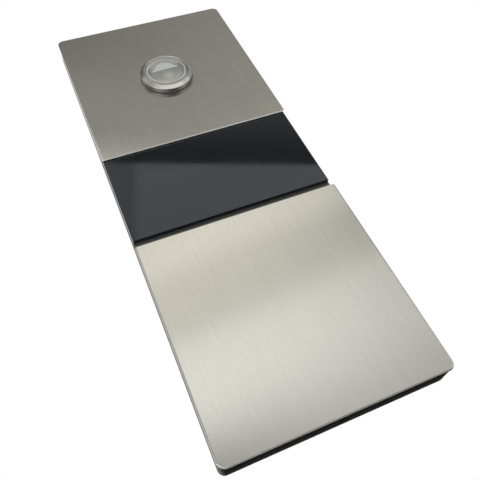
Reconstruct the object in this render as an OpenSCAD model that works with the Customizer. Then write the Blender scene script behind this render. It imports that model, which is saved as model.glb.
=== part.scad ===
// Landing call panel of a passenger lift: two stainless covers and a dark gloss band
// on a moulded shell that hooks onto a wall plate, with one lit push button.
// Each piece is drawn lying on the wall, x to the right, y up the panel and z off the wall.
// upright() then stands it up: z up, the front facing minus y, the wall at y = 0.

/* [Panel] */
// Width of the panel and of both covers
panel_w = 108; // [104:1:130]
// Length of each steel cover along the panel
cover_l = 108.5; // [106:0.5:130]
// Length of the dark band between the covers
band_l = 60; // [54:1:80]
// Distance from the wall to the underside of the covers
body_d = 13; // [12.6:0.2:18]
// Radius of the panel's four outer corners
corner_r = 3.6; // [3:0.1:6]
// Radius of the covers' corners beside the band
inner_corner_r = 0.8; // [0.4:0.1:2]
// Thickness of the cover sheet
sheet_t = 1.2; // [0.8:0.1:1.5]
// Chamfer round the front of the covers
edge_break = 0.4; // [0.2:0.1:0.4]
// Diameter of the studs welded behind the covers
stud_d = 3; // [2.5:0.5:4]
// Distance of a cover's studs from its side edges
stud_side = 10; // [9:0.5:14]
// Distance of a cover's studs from its ends
stud_end = 13.25; // [12.5:0.25:18]
// Height of a stud's nut
stud_nut_h = 2.4; // [1.8:0.1:2.6]

/* [Shell] */
// Side wall of the moulded shell
shell_wall = 2; // [1.6:0.1:2.4]
// Front deck of the moulded shell
deck_t = 2; // [1.6:0.1:2.4]
// How far the covers overhang the shell
cover_overhang = 0.4; // [0.2:0.1:0.8]
// How far the shell's rim stays off the wall
rim_gap = 0.4; // [0.2:0.1:0.8]
// Depth of the band's recess below the covers' underside
band_recess = 2.7; // [2.5:0.1:3.2]
// Thickness of the gussets along the side walls
gusset_t = 1.4; // [1:0.1:2]
// Height and width of the gussets
gusset_h = 3; // [2:0.1:3.2]

/* [Band window] */
// Thickness of the window pane
window_t = 2.4; // [2:0.1:2.5]
// Width of the groove between the window and the lower cover
groove_w = 4.7; // [3:0.1:7]
// How far the window reaches under the upper cover
window_tuck = 6; // [4:0.5:7]
// Radius of the window's side edges
window_edge_r = 1.1; // [0.6:0.1:1.6]
// Distance of the window's screws from its side edges
window_screw_side = 12; // [10:0.5:16]
// Distance of the window's screws from its ends
window_screw_end = 7; // [6:0.5:10]

/* [Push button] */
// Distance of the button's axis below the middle of the upper cover
button_low = 1.95; // [0:0.05:8]
// Diameter of the clear cap that is pressed
pressel_d = 25.6; // [24:0.1:26]
// Travel of the cap
button_travel = 1.2; // [0.8:0.1:1.6]
// Outer diameter of the bezel
bezel_d = 31; // [30.6:0.1:34]
// Height of the bezel above the cover
bezel_h = 4.5; // [4.2:0.1:5.2]
// Height of the bezel's bevel
bevel_h = 1.5; // [0.8:0.1:1.8]
// Width of the bezel's bevel
bevel_w = 1.9; // [1:0.1:2]
// Thickness of the seal under the bezel
gasket_t = 0.4; // [0.3:0.1:0.6]
// How far the cap's edge lies below the bezel's top
lens_recess = 0.3; // [0.1:0.1:0.8]
// Width of the slope round the cap's face
slope_w = 1.4; // [0.8:0.1:1.8]
// Rise of the slope round the cap's face
slope_h = 0.5; // [0.2:0.1:0.8]
// Rise of the cap's face towards its middle
dome_h = 0.3; // [0.1:0.1:0.8]
// Thickness of the cap's lens at its edge
lens_t = 1.6; // [1.2:0.1:2]
// Wall of the cap's skirt
skirt_t = 1.1; // [0.8:0.1:1.3]
// Width of the arrow
arrow_w = 16.8; // [12:0.2:17]
// Height of the arrow
arrow_h = 6.4; // [5:0.2:7]
// Width of the arrow across the shoulders of its blunt tip
arrow_tip_w = 7; // [2:0.5:8]
// Height of the arrow's blunt tip
arrow_tip_h = 1.4; // [0.6:0.1:2]
// Height of the arrow's base above the middle of the cap
arrow_up = 1.7; // [0:0.1:3]
// How far the arrow stands out of the legend
arrow_proud = 0.3; // [0.1:0.1:0.6]
// Wire of the return spring
spring_wire = 0.7; // [0.5:0.1:0.8]
// Turns of the return spring
spring_turns = 4.5; // [3:0.5:6]
// Width of the switch under the button
switch_w = 6.2; // [5.5:0.1:6.6]
// Height of the switch's body
switch_h = 3.4; // [3:0.1:3.6]

/* [Wall plate] */
// Thickness of the wall plate
plate_t = 1.5; // [1.2:0.1:1.8]
// Distance of the wall screws from the panel's side edges
slot_side = 19; // [17:0.5:24]
// Distance of the wall screws from the panel's ends
slot_end = 28.5; // [27.5:0.5:40]
// Width of the slots for the wall screws
slot_w = 4.5; // [4:0.1:5.5]
// Length of the slots for the wall screws
slot_l = 9; // [7:0.5:11]
// Distance of the cable entry below the panel's middle
cable_down = 14; // [13:0.5:15]
// Bore of the cable grommet
cable_d = 14; // [10:0.5:15]
// Distance of the hooks from the panel's side edges
hook_side = 24; // [23:0.5:30]
// Width of a hook
hook_w = 10; // [8:0.5:11]
// Distance of the hooks below the panel's top edge
hook_down = 22; // [20:0.5:23]
// Thread of the locking screw
lock_d = 4; // [3:0.5:4]

/* [Electronics] */
// Thickness of both circuit boards
board_t = 1.6; // [1:0.2:1.6]
// Width of the main board
main_w = 80; // [76:1:84]
// Length of the main board
main_l = 62; // [58:1:66]
// Width of the flat cable
ribbon_w = 10; // [8:0.5:12]
// Thickness of the flat cable
ribbon_t = 0.9; // [0.7:0.1:1.2]

/* [Hidden] */
$fn = 64;

// Overshoot of a cut past a face, and the bite of a rib into the wall that carries it
cut = 1;
bite = 0.5;
// Clearance of a screw or boss in its hole, and of pieces that only lie beside each other
fit_gap = 0.1;
side_gap = 0.3;

// Overall length, the middle of the upper cover and the spacing of its studs
panel_l = 2 * cover_l + band_l;
cover_y = (band_l + cover_l) / 2;
stud_dx = panel_w - 2 * stud_side;
stud_dy = cover_l - 2 * stud_end;

// Levels off the wall: outer face of the covers, inside of the deck, floor of the band
face_z = body_d + sheet_t;
deck_z = body_d - deck_t;
band_z = body_d - band_recess;
band_deck_z = band_z - deck_t;

// Outline of the shell and of the hollow behind it
shell_w = panel_w - 2 * cover_overhang;
shell_l = panel_l - 2 * cover_overhang;
shell_r = corner_r - cover_overhang;
hollow_w = shell_w - 2 * shell_wall;
hollow_l = shell_l - 2 * shell_wall;
hollow_r = shell_r - shell_wall / 2;

// Band: from the groove's lower edge to the step under the upper cover
band_low = -band_l / 2;
band_high = band_l / 2 + window_tuck;
window_low = band_low + groove_w;
window_high = band_high - side_gap;
window_mid = (window_low + window_high) / 2;
window_screw_dx = panel_w - 2 * window_screw_side;
window_screw_dy = window_high - window_low - 2 * window_screw_end;
window_boss_d = 6;
window_screw_d = 1.9;
window_screw_bite = 1.4;
window_head_d = 7.6;
window_head_h = 1.4;

// Nuts of the covers, across their corners
nut_d = 2.1 * stud_d;
stud_tip = 1;

// Hooks bent from the plate, and the shell's bars that hang in them
hook_dx = panel_w - 2 * hook_side;
hook_y = panel_l / 2 - hook_down;
hook_gap = 3;
hook_lip = 5;
bar_h = 3.5;
bar_post = 2.4;
bar_off_plate = 0.4;
bar_w = hook_w + 2 * (side_gap + bar_post);

// Locking screw through the lower edge: boss in the shell and tab of the plate
lock_z = body_d / 2;
lock_boss = 1.6;
lock_boss_d = 2.4 * lock_d;
lock_head_d = 1.9 * lock_d;
lock_head_h = (lock_head_d - lock_d) / 2;
lock_face_y = -shell_l / 2;
lock_tab_y = lock_face_y + shell_wall + lock_boss + side_gap;
lock_tab_w = 18;
lock_tab_h = lock_z + lock_d / 2 + 1.6;
lock_tip = 3;

// Wall plate inside the shell's rim
plate_w = hollow_w - 2 * side_gap;
plate_high = hollow_l / 2 - side_gap;
plate_r = 2;
slot_dx = panel_w - 2 * slot_side;
slot_dy = panel_l - 2 * slot_end;

// Cable entry: a dish pressed in the plate keeps the grommet clear of the wall
cable_y = -cable_down;
grommet_wall = 2.4;
grommet_lip = 1.8;
grommet_lip_t = 1.4;
grommet_groove_d = cable_d + 2 * grommet_wall;
grommet_d = grommet_groove_d + 2 * grommet_lip;
dish_h = grommet_lip_t + 0.6;
dish_flat_r = grommet_d / 2 + 0.8;
dish_r = dish_flat_r + dish_h;

// Button's axis, and the radii of its bore, collar and hole from the cap outwards
button_y = cover_y - button_low;
pressel_gap = 0.2;
pressel_r = pressel_d / 2;
bore_r = pressel_r + pressel_gap;
skirt_r = pressel_r - skirt_t;
flange_r = pressel_r + 0.55;
collar_bore_r = flange_r + pressel_gap;
collar_r = collar_bore_r + 1;
button_hole_r = collar_r + pressel_gap;
bezel_r = bezel_d / 2;

// Levels of the button, down from the bezel's top
bezel_z = face_z + bezel_h;
lens_z = bezel_z - lens_recess;
face_r = pressel_r - slope_w;
cap_face_z = lens_z + slope_h;
dome_r = (face_r * face_r + dome_h * dome_h) / (2 * dome_h);
lens_under_z = lens_z - lens_t;
bore_chamfer = 0.3;
shoulder_z = face_z - 1.4;
flange_z = shoulder_z - fit_gap;
flange_t = 1.2;
legend_t = 0.6;
diffuser_r = skirt_r - fit_gap;
diffuser_rim = 0.5;
legend_r = diffuser_r - diffuser_rim - fit_gap;
arrow_top_z = lens_under_z - fit_gap;
legend_z = arrow_top_z - arrow_proud - legend_t;
arrow_mid = arrow_up + arrow_h / 2;
diffuser_t = 0.8;
diffuser_z = legend_z - diffuser_t;

// Levels of the button, up from the wall plate
board_stand = 1.9;
button_board_z = plate_t + board_stand;
button_board_top = button_board_z + board_t;
base_floor = 1.6;
base_z = button_board_top + base_floor;
base_wall = 1.6;
base_r = collar_r + fit_gap + base_wall;
ring_nut_t = 2.6;
ring_nut_r = collar_r + 3.8;
ring_nut_notches = 6;
ring_nut_notch = 2.4;
base_rim_z = deck_z - ring_nut_t - side_gap;

// Switch, its plunger and the stem that presses it
switch_top = button_board_top + switch_h;
switch_floor = 0.6;
plunger_out = button_travel + 0.2;
plunger_d = 3.4;
plunger_top = switch_top + plunger_out;
plunger_gap = 0.06;
stem_d = 4.4;
spring_r = switch_w / 2 * sqrt(2) + 1 + spring_wire / 2;
spring_steps = 20;
spring_sides = 8;

// Lamps round the switch, and the two screws between them
led_ring_r = spring_r + spring_wire / 2 + 2.6;
led_size = [3.5, 2.8, 1.9];
led_room = 0.5;
base_screw_ring_r = collar_bore_r - 2.3;
base_screw_d = 1.6;
base_boss_d = 3.8;
base_boss_h = 2;
base_head_d = 3.2;
base_head_h = 1.2;
base_screw_angles = [45, 225];

// Button's board reaches past the base to take the flat cable's header
button_board_l = 2 * base_r + 1;
header_l = 6;
header_h = 4.4;
header_end = 1.2;
header_w = ribbon_w + 2 * header_end;
ribbon_x = base_r + 1 + header_w / 2;
button_header_y = button_y - button_board_l / 2 + header_l / 2;
button_board_right = ribbon_x + header_w / 2 + 1;

// Main board under the lower cover, hung from pads on the deck
main_y = -cover_y + 4;
main_pad_h = 0.8;
main_pad_d = 6;
main_top_z = deck_z - main_pad_h;
main_z = main_top_z - board_t;
main_hole_in = 4;
main_screw_d = 2;
main_head_d = 4;
main_head_h = 1.6;
main_screw_bite = main_pad_h + deck_t - 0.8;
main_header_y = main_y + main_l / 2 - header_l / 2 - 2;
connector_ways = 8;
connector_pitch = 2.5;
connector_size = [connector_ways * connector_pitch + 3, 7, 5.4];
connector_x = -main_w / 2 + main_hole_in + main_head_d + connector_size[0] / 2;
connector_y = main_y + main_l / 2 - connector_size[1] / 2;
part_gap = 3;

// Parts along the main board: capacitors from its left edge, then the driver and the processor
can_d = 6.3;
can_h = 4.8;
can_foot = [6.6, 6.6, 0.6];
can_pitch = can_foot[1] + 1.4;
can_count = 3;
can_x = -main_w / 2 + main_hole_in + main_head_d;
leg_l = 1.2;
leg_t = 0.4;
driver = [9.6, 4, 1.4];
driver_legs = 8;
driver_pitch = 1.2;
driver_x = can_x + (can_foot[0] + driver[0]) / 2 + part_gap;
processor = [10, 10, 1.2];
processor_legs = 11;
processor_pitch = 0.8;
processor_x = driver_x + (driver[0] + processor[0]) / 2 + part_gap;
buzzer_d = 12;
buzzer_h = 4.6;
buzzer_hole_d = 2;
buzzer_x = main_w / 2 - main_hole_in - main_head_d - buzzer_d / 2;
buzzer_y = main_y - main_l / 2 + main_hole_in + main_head_d + buzzer_d / 2;

// Flat cable between the two headers, with a little slack as waves
ribbon_from = button_header_y - header_l / 2;
ribbon_to = main_header_y + header_l / 2;
ribbon_from_z = button_board_top + header_h / 2;
ribbon_to_z = main_z - header_h / 2;
ribbon_steps = 40;
ribbon_wave = 0.5;

// Stand a piece drawn lying on the wall up against it
module upright() {
    rotate([90, 0, 0]) children();
}

module at_corners(dx, dy) {
    for (side = [-1, 1], end = [-1, 1])
        translate([side * dx / 2, end * dy / 2, 0]) children();
}

module at_cover_studs(end) {
    translate([0, end * cover_y, 0]) at_corners(stud_dx, stud_dy) children();
}

module at_window_screws() {
    translate([0, window_mid, 0]) at_corners(window_screw_dx, window_screw_dy) children();
}

module at_main_screws() {
    translate([0, main_y, 0])
        at_corners(main_w - 2 * main_hole_in, main_l - 2 * main_hole_in) children();
}

module at_base_screws() {
    translate([0, button_y, 0])
        for (angle = base_screw_angles)
            rotate(angle) translate([base_screw_ring_r, 0, 0]) children();
}

module at_leds() {
    translate([0, button_y, 0])
        for (angle = [0:90:270])
            rotate(angle) translate([led_ring_r, 0, 0]) children();
}

// Rectangle with one radius on its upper corners and another on its lower ones
module rounded_sheet(w, l, upper_r, lower_r) {
    difference() {
        square([w, l], center = true);
        for (side = [-1, 1]) {
            translate([side * w / 2, l / 2]) square(2 * upper_r, center = true);
            translate([side * w / 2, -l / 2]) square(2 * lower_r, center = true);
        }
    }
    for (side = [-1, 1]) {
        translate([side * (w / 2 - upper_r), l / 2 - upper_r]) circle(upper_r);
        translate([side * (w / 2 - lower_r), lower_r - l / 2]) circle(lower_r);
    }
}

// Section of the cutter that chamfers a front edge: the edge is at x = r, the face at y = 0
module chamfer_section(r) {
    polygon([
        [r - edge_break, 0], [r - edge_break, cut], [r + cut, cut], [r + cut, -edge_break - cut]
    ]);
}

module straight_chamfer(l) {
    rotate([90, 0, 0]) translate([0, 0, -l / 2]) linear_extrude(l) chamfer_section(0);
}

module corner_chamfer(r) {
    reach = r + 2 * cut;
    intersection() {
        rotate_extrude() chamfer_section(r);
        translate([0, 0, -reach]) cube([reach, reach, 2 * reach]);
    }
}

// Cutter round the front of a rounded sheet whose face is at z = 0
module sheet_chamfer(w, l, upper_r, lower_r) {
    translate([0, l / 2, 0]) rotate(90) straight_chamfer(w - 2 * upper_r);
    translate([0, -l / 2, 0]) rotate(-90) straight_chamfer(w - 2 * lower_r);
    for (side = [0, 1]) mirror([side, 0, 0]) {
        translate([w / 2, (lower_r - upper_r) / 2, 0]) straight_chamfer(l - upper_r - lower_r);
        translate([w / 2 - upper_r, l / 2 - upper_r, 0]) corner_chamfer(upper_r);
        translate([w / 2 - lower_r, lower_r - l / 2, 0]) mirror([0, 1, 0]) corner_chamfer(lower_r);
    }
}

// Slot with round ends, along x
module slot_outline(l, w) {
    square([l - w, w], center = true);
    for (side = [-1, 1]) translate([side * (l - w) / 2, 0]) circle(d = w);
}

// Block that stands on z, centred in x and y
module block(size) {
    translate([-size[0] / 2, -size[1] / 2, 0]) cube(size);
}

// Screw with a low round head: head above z = 0, shank below it
module round_screw(head_d, head_h, shank_d, shank_l) {
    translate([0, 0, -shank_l]) cylinder(d = shank_d, h = shank_l + bite);
    cylinder(d = head_d, h = head_h / 2);
    translate([0, 0, head_h / 2]) cylinder(d1 = head_d, d2 = head_d * 0.7, h = head_h / 2);
}

// Screw whose head lies towards the wall
module wallward_screw(head_d, head_h, shank_d, shank_l) {
    mirror([0, 0, 1]) round_screw(head_d, head_h, shank_d, shank_l);
}

module hook() {
    leg_h = plate_t + hook_gap + plate_t;
    translate([0, plate_t / 2, 0]) block([hook_w, plate_t, leg_h]);
    translate([0, (plate_t + hook_lip) / 2, leg_h - plate_t])
        block([hook_w, plate_t + hook_lip, plate_t]);
}

module wall_plate_sheet() {
    plate_l = plate_high - lock_tab_y;
    translate([0, (plate_high + lock_tab_y) / 2])
        rounded_sheet(plate_w, plate_l, plate_r, plate_r);
}

// Half section of the dish that is pressed round the cable entry
module dish_section() {
    polygon([
        [grommet_groove_d / 2, dish_h], [dish_flat_r, dish_h], [dish_r, 0],
        [dish_r + bite, 0], [dish_r + bite, plate_t], [dish_r, plate_t],
        [dish_flat_r, dish_h + plate_t], [grommet_groove_d / 2, dish_h + plate_t]
    ]);
}

module wall_plate() {
    hook_blank = hook_lip + hook_gap + 2 * plate_t;
    color("silver") upright() difference() {
        union() {
            difference() {
                linear_extrude(plate_t) wall_plate_sheet();
                translate([0, cable_y, -cut]) cylinder(r = dish_r, h = plate_t + 2 * cut);
                for (side = [-1, 1])
                    translate([side * hook_dx / 2, hook_y + plate_t + hook_blank / 2, -cut])
                        block([hook_w + 2 * plate_t, hook_blank, plate_t + 2 * cut]);
            }
            translate([0, cable_y, 0]) rotate_extrude() dish_section();
            for (side = [-1, 1]) translate([side * hook_dx / 2, hook_y, 0]) hook();
            translate([0, lock_tab_y + plate_t / 2, 0]) block([lock_tab_w, plate_t, lock_tab_h]);
        }
        translate([0, 0, -cut]) linear_extrude(plate_t + 2 * cut)
            at_corners(slot_dx, slot_dy) slot_outline(slot_l, slot_w);
        translate([0, lock_tab_y - cut, lock_z]) rotate([-90, 0, 0])
            cylinder(d = lock_d, h = plate_t + 2 * cut);
    }
}

module cable_grommet() {
    seat = fit_gap / 2;
    color("dimgray") upright() translate([0, cable_y, dish_h]) difference() {
        union() {
            translate([0, 0, -grommet_lip_t]) cylinder(d = grommet_d, h = grommet_lip_t - seat);
            translate([0, 0, -grommet_lip_t])
                cylinder(d = grommet_groove_d - fit_gap, h = plate_t + 2 * grommet_lip_t);
            translate([0, 0, plate_t + seat]) cylinder(d = grommet_d, h = grommet_lip_t - seat);
        }
        translate([0, 0, -grommet_lip_t - cut])
            cylinder(d = cable_d, h = plate_t + 2 * (grommet_lip_t + cut));
    }
}

// Countersunk screw with a hexagon socket, its head flush with the shell's lower edge
module locking_screw() {
    reach = lock_tab_y + plate_t - lock_face_y + lock_tip;
    socket_d = lock_d * 0.66;
    color("dimgray") upright() translate([0, lock_face_y + fit_gap, lock_z]) rotate([-90, 0, 0])
        difference() {
            union() {
                cylinder(d1 = lock_head_d - fit_gap, d2 = lock_d - fit_gap, h = lock_head_h);
                cylinder(d = lock_d - fit_gap, h = reach);
            }
            translate([0, 0, -cut]) cylinder(d = socket_d, h = lock_head_h + cut, $fn = 6);
        }
}

// Bar on two posts that drops into a hook of the wall plate
module hook_bar() {
    bar_z = plate_t + bar_off_plate;
    bar_t = hook_gap - bar_off_plate - side_gap;
    translate([0, bar_h / 2, bar_z]) block([bar_w, bar_h, bar_t]);
    for (side = [-1, 1])
        translate([side * (bar_w - bar_post) / 2, bar_h / 2, bar_z])
            block([bar_post, bar_h, deck_z - bar_z + bite]);
}

module shell_body() {
    difference() {
        translate([0, 0, rim_gap]) linear_extrude(body_d - rim_gap)
            rounded_sheet(shell_w, shell_l, shell_r, shell_r);
        translate([-panel_w / 2, band_low, band_z])
            cube([panel_w, band_high - band_low, body_d]);
    }
}

// Hollow behind the deck, shallower behind the band
module shell_hollow() {
    difference() {
        translate([0, 0, -cut]) linear_extrude(deck_z + cut)
            rounded_sheet(hollow_w, hollow_l, hollow_r, hollow_r);
        translate([-panel_w / 2, band_low - shell_wall, band_deck_z])
            cube([panel_w, band_high - band_low + 2 * shell_wall, body_d]);
    }
}

// Gussets between the deck and the side walls, above and below the band
module shell_gussets() {
    per_side = 4;
    zones = [[-hollow_l / 2, band_low - shell_wall], [band_high + shell_wall, hollow_l / 2]];
    for (zone = zones, side = [-1, 1], k = [0:per_side - 1]) {
        y = zone[0] + (k + 0.5) * (zone[1] - zone[0]) / per_side;
        translate([side * hollow_w / 2, y, deck_z]) rotate([90, 0, 0])
            linear_extrude(gusset_t, center = true)
                polygon([
                    [side * bite, bite], [-side * gusset_h, bite], [-side * gusset_h, 0],
                    [0, -gusset_h], [side * bite, -gusset_h]
                ]);
    }
}

module front_shell() {
    pilot_d = main_screw_d + fit_gap;
    color("#1d1d1f") upright() difference() {
        union() {
            difference() {
                shell_body();
                shell_hollow();
            }
            shell_gussets();
            for (side = [-1, 1])
                translate([side * hook_dx / 2, hook_y + plate_t + side_gap, 0]) hook_bar();
            at_main_screws() translate([0, 0, main_top_z])
                cylinder(d = main_pad_d, h = main_pad_h + bite);
            translate([0, lock_face_y + shell_wall - bite, lock_z]) rotate([-90, 0, 0])
                cylinder(d = lock_boss_d, h = lock_boss + bite);
        }
        translate([0, button_y, deck_z - cut]) cylinder(r = button_hole_r, h = deck_t + 2 * cut);
        for (end = [-1, 1])
            at_cover_studs(end) translate([0, 0, deck_z - cut])
                cylinder(d = stud_d + 2 * fit_gap, h = deck_t + 2 * cut);
        at_window_screws() translate([0, 0, band_deck_z - cut])
            cylinder(d = window_boss_d + 2 * fit_gap, h = deck_t + 2 * cut);
        at_main_screws() translate([0, 0, main_top_z - cut])
            cylinder(d = pilot_d, h = main_screw_bite + fit_gap + cut);
        translate([0, lock_face_y - cut, lock_z]) rotate([-90, 0, 0])
            cylinder(d = lock_d + 2 * fit_gap, h = shell_wall + lock_boss + 2 * cut);
        translate([0, lock_face_y, lock_z]) rotate([-90, 0, 0])
            cylinder(d1 = lock_head_d + 2 * fit_gap, d2 = lock_d + 2 * fit_gap, h = lock_head_h);
        translate([0, lock_face_y - cut, lock_z]) rotate([-90, 0, 0])
            cylinder(d = lock_head_d + 2 * fit_gap, h = cut);
    }
}

// Sheet of a cover with its studs: end is 1 for the upper cover and -1 for the lower one
module cover_sheet(end) {
    outer = end > 0 ? corner_r : inner_corner_r;
    inner = end > 0 ? inner_corner_r : corner_r;
    stud_l = deck_t + stud_nut_h + stud_tip;
    translate([0, end * cover_y, body_d]) difference() {
        linear_extrude(sheet_t) rounded_sheet(panel_w, cover_l, outer, inner);
        translate([0, 0, sheet_t]) sheet_chamfer(panel_w, cover_l, outer, inner);
    }
    at_cover_studs(end) translate([0, 0, body_d - stud_l])
        cylinder(d = stud_d, h = stud_l + bite);
}

module upper_cover() {
    color("#a8a69d") upright() difference() {
        cover_sheet(1);
        translate([0, button_y, body_d - cut]) cylinder(r = button_hole_r, h = sheet_t + 2 * cut);
    }
}

module lower_cover() {
    color("#c9c7be") upright() cover_sheet(-1);
}

module cover_nuts() {
    color("silver") upright()
        for (end = [-1, 1])
            at_cover_studs(end) translate([0, 0, deck_z - stud_nut_h]) difference() {
                cylinder(d = nut_d, h = stud_nut_h, $fn = 6);
                translate([0, 0, -cut]) cylinder(d = stud_d + fit_gap, h = stud_nut_h + 2 * cut);
            }
}

// Cross section of the pane, rounded along its two side edges
module window_section() {
    w = panel_w - 2 * cover_overhang;
    flank = w / 2 - window_edge_r;
    translate([-w / 2, 0]) square([w, window_t - window_edge_r]);
    translate([-flank, 0]) square([2 * flank, window_t]);
    for (side = [-1, 1]) translate([side * flank, window_t - window_edge_r]) circle(window_edge_r);
}

module band_window() {
    boss_h = deck_t - fit_gap;
    color("#141416") upright() difference() {
        union() {
            translate([0, window_high, band_z]) rotate([90, 0, 0])
                linear_extrude(window_high - window_low) window_section();
            at_window_screws() translate([0, 0, band_z - boss_h])
                cylinder(d = window_boss_d, h = boss_h + bite);
        }
        at_window_screws() translate([0, 0, band_z - boss_h - cut])
            cylinder(d = window_screw_d + fit_gap, h = boss_h + cut + window_screw_bite);
    }
}

module window_screws() {
    color("silver") upright()
        at_window_screws() translate([0, 0, band_deck_z])
            wallward_screw(window_head_d, window_head_h, window_screw_d, deck_t + 1);
}

// Half section of the bezel: bevelled flange outside, threaded collar behind it
module bezel_section() {
    flange_low = face_z + gasket_t;
    collar_low = base_z + fit_gap;
    polygon([
        [bore_r, bezel_z - bore_chamfer], [bore_r + bore_chamfer, bezel_z],
        [bezel_r - bevel_w, bezel_z], [bezel_r, bezel_z - bevel_h], [bezel_r, flange_low],
        [collar_r, flange_low], [collar_r, collar_low], [collar_bore_r, collar_low],
        [collar_bore_r, shoulder_z], [bore_r, shoulder_z]
    ]);
}

module button_bezel() {
    color("#c4c4c0") upright() translate([0, button_y, 0]) rotate_extrude() bezel_section();
}

module bezel_gasket() {
    color("#202022") upright() translate([0, button_y, face_z]) difference() {
        cylinder(r = bezel_r + fit_gap, h = gasket_t);
        translate([0, 0, -cut]) cylinder(r = button_hole_r, h = gasket_t + 2 * cut);
    }
}

// Ring nut behind the deck, with notches for a pin spanner
module button_nut() {
    color("silver") upright() translate([0, button_y, deck_z - ring_nut_t]) difference() {
        cylinder(r = ring_nut_r, h = ring_nut_t);
        translate([0, 0, -cut]) cylinder(r = collar_r + fit_gap, h = ring_nut_t + 2 * cut);
        for (k = [0:ring_nut_notches - 1])
            rotate(k * 360 / ring_nut_notches) translate([ring_nut_r, 0, -cut])
                block([ring_nut_notch, ring_nut_notch, ring_nut_t + 2 * cut]);
    }
}

// Half section of the cap: domed face with a slope round it, skirt, and the flange that the
// bezel's shoulder holds in
module pressel_section() {
    skirt_z = flange_z - flange_t;
    difference() {
        union() {
            intersection() {
                polygon([
                    [0, skirt_z], [pressel_r, skirt_z], [pressel_r, lens_z],
                    [face_r, cap_face_z], [face_r, cap_face_z + dome_h], [0, cap_face_z + dome_h]
                ]);
                translate([0, cap_face_z + dome_h - dome_r]) circle(dome_r, $fn = 256);
            }
            translate([skirt_r, skirt_z]) square([flange_r - skirt_r, flange_t]);
        }
        translate([0, skirt_z - cut]) square([skirt_r, lens_under_z - skirt_z + cut]);
    }
}

module pressel() {
    color("#c9ced2", 0.5) upright() translate([0, button_y, 0]) rotate_extrude() pressel_section();
}

// Up arrow with a blunt tip, its middle at the origin, grown by a margin all round
module arrow_outline(margin) {
    half = arrow_w / 2 + 2 * margin;
    shoulder = arrow_tip_w / 2 + margin;
    low = -arrow_h / 2 - margin;
    high = arrow_h / 2 + margin;
    polygon([
        [-half, low], [half, low], [shoulder, high - arrow_tip_h], [0, high],
        [-shoulder, high - arrow_tip_h]
    ]);
}

module legend_disc() {
    color("#77797a") upright() translate([0, button_y, legend_z]) difference() {
        cylinder(r = legend_r, h = legend_t);
        translate([0, arrow_mid, -cut]) linear_extrude(legend_t + 2 * cut)
            arrow_outline(fit_gap / 2);
    }
}

module arrow_symbol() {
    color("white") upright() translate([0, button_y + arrow_mid, legend_z])
        linear_extrude(arrow_top_z - legend_z) arrow_outline(0);
}

// White cup behind the legend: its rim is the light ring, its stem presses the switch
module light_diffuser() {
    color("#e8e8e4") upright() translate([0, button_y, 0]) {
        difference() {
            translate([0, 0, diffuser_z]) cylinder(r = diffuser_r, h = arrow_top_z - diffuser_z);
            translate([0, 0, legend_z]) cylinder(r = legend_r + fit_gap, h = arrow_top_z);
        }
        translate([0, 0, plunger_top]) cylinder(d = stem_d, h = diffuser_z - plunger_top + bite);
    }
}

function spring_point(turn, around, z0, rise) =
    let (
        angle = 360 * turn,
        across = spring_r + spring_wire / 2 * cos(around)
    )
    [across * cos(angle), across * sin(angle), z0 + rise * turn + spring_wire / 2 * sin(around)];

// Coil of round wire between the base's floor and the diffuser
module return_spring() {
    z0 = base_z + spring_wire / 2 + fit_gap / 2;
    z1 = diffuser_z - spring_wire / 2 - fit_gap / 2;
    rise = (z1 - z0) / spring_turns;
    rings = floor(spring_turns * spring_steps);
    points = [
        for (ring = [0:rings], side = [0:spring_sides - 1])
            spring_point(ring / spring_steps, 360 * side / spring_sides, z0, rise)
    ];
    walls = [
        for (ring = [0:rings - 1], side = [0:spring_sides - 1])
            let (next = (side + 1) % spring_sides, a = ring * spring_sides, b = a + spring_sides)
            each [[a + side, a + next, b + side], [b + side, a + next, b + next]]
    ];
    first = [for (side = [0:spring_sides - 1]) spring_sides - 1 - side];
    last = [for (side = [0:spring_sides - 1]) rings * spring_sides + side];
    color("silver") upright() translate([0, button_y, 0])
        polyhedron(points, concat(walls, [first, last]));
}

// Cup on the collar's end, with room for the switch and the lamps in its floor
module button_base() {
    switch_room = switch_w + 2 * side_gap;
    color("#2a2a2c") upright() difference() {
        union() {
            translate([0, button_y, button_board_top]) cylinder(r = base_r, h = base_floor);
            translate([0, button_y, button_board_top]) difference() {
                cylinder(r = base_r, h = base_rim_z - button_board_top);
                translate([0, 0, base_floor])
                    cylinder(r = collar_r + fit_gap, h = base_rim_z - base_z + cut);
            }
            at_base_screws() translate([0, 0, base_z - bite])
                cylinder(d = base_boss_d, h = base_boss_h + bite);
        }
        translate([0, button_y, button_board_top - cut])
            block([switch_room, switch_room, base_floor + 2 * cut]);
        at_leds() translate([0, 0, button_board_top - cut])
            block([led_size[0] + led_room, led_size[1] + led_room, base_floor + 2 * cut]);
        at_base_screws() translate([0, 0, button_board_top - cut])
            cylinder(d = base_screw_d + fit_gap, h = base_floor + base_boss_h - bite + cut);
    }
}

module button_board() {
    color("darkgreen") upright() difference() {
        translate([-base_r, button_y - button_board_l / 2, button_board_z])
            cube([base_r + button_board_right, button_board_l, board_t]);
        at_base_screws() translate([0, 0, button_board_z - cut])
            cylinder(d = base_screw_d + 2 * fit_gap, h = board_t + 2 * cut);
    }
}

module button_board_screws() {
    color("silver") upright()
        at_base_screws() translate([0, 0, button_board_z])
            wallward_screw(base_head_d, base_head_h, base_screw_d, board_t + base_floor + base_boss_h / 2);
}

module call_leds() {
    lens_d = led_size[1] * 0.7;
    color("gold") upright()
        at_leds() translate([0, 0, button_board_top]) difference() {
            block(led_size);
            translate([0, 0, led_size[2] - led_room])
                cylinder(d1 = lens_d * 0.8, d2 = lens_d, h = led_room);
        }
}

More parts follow.
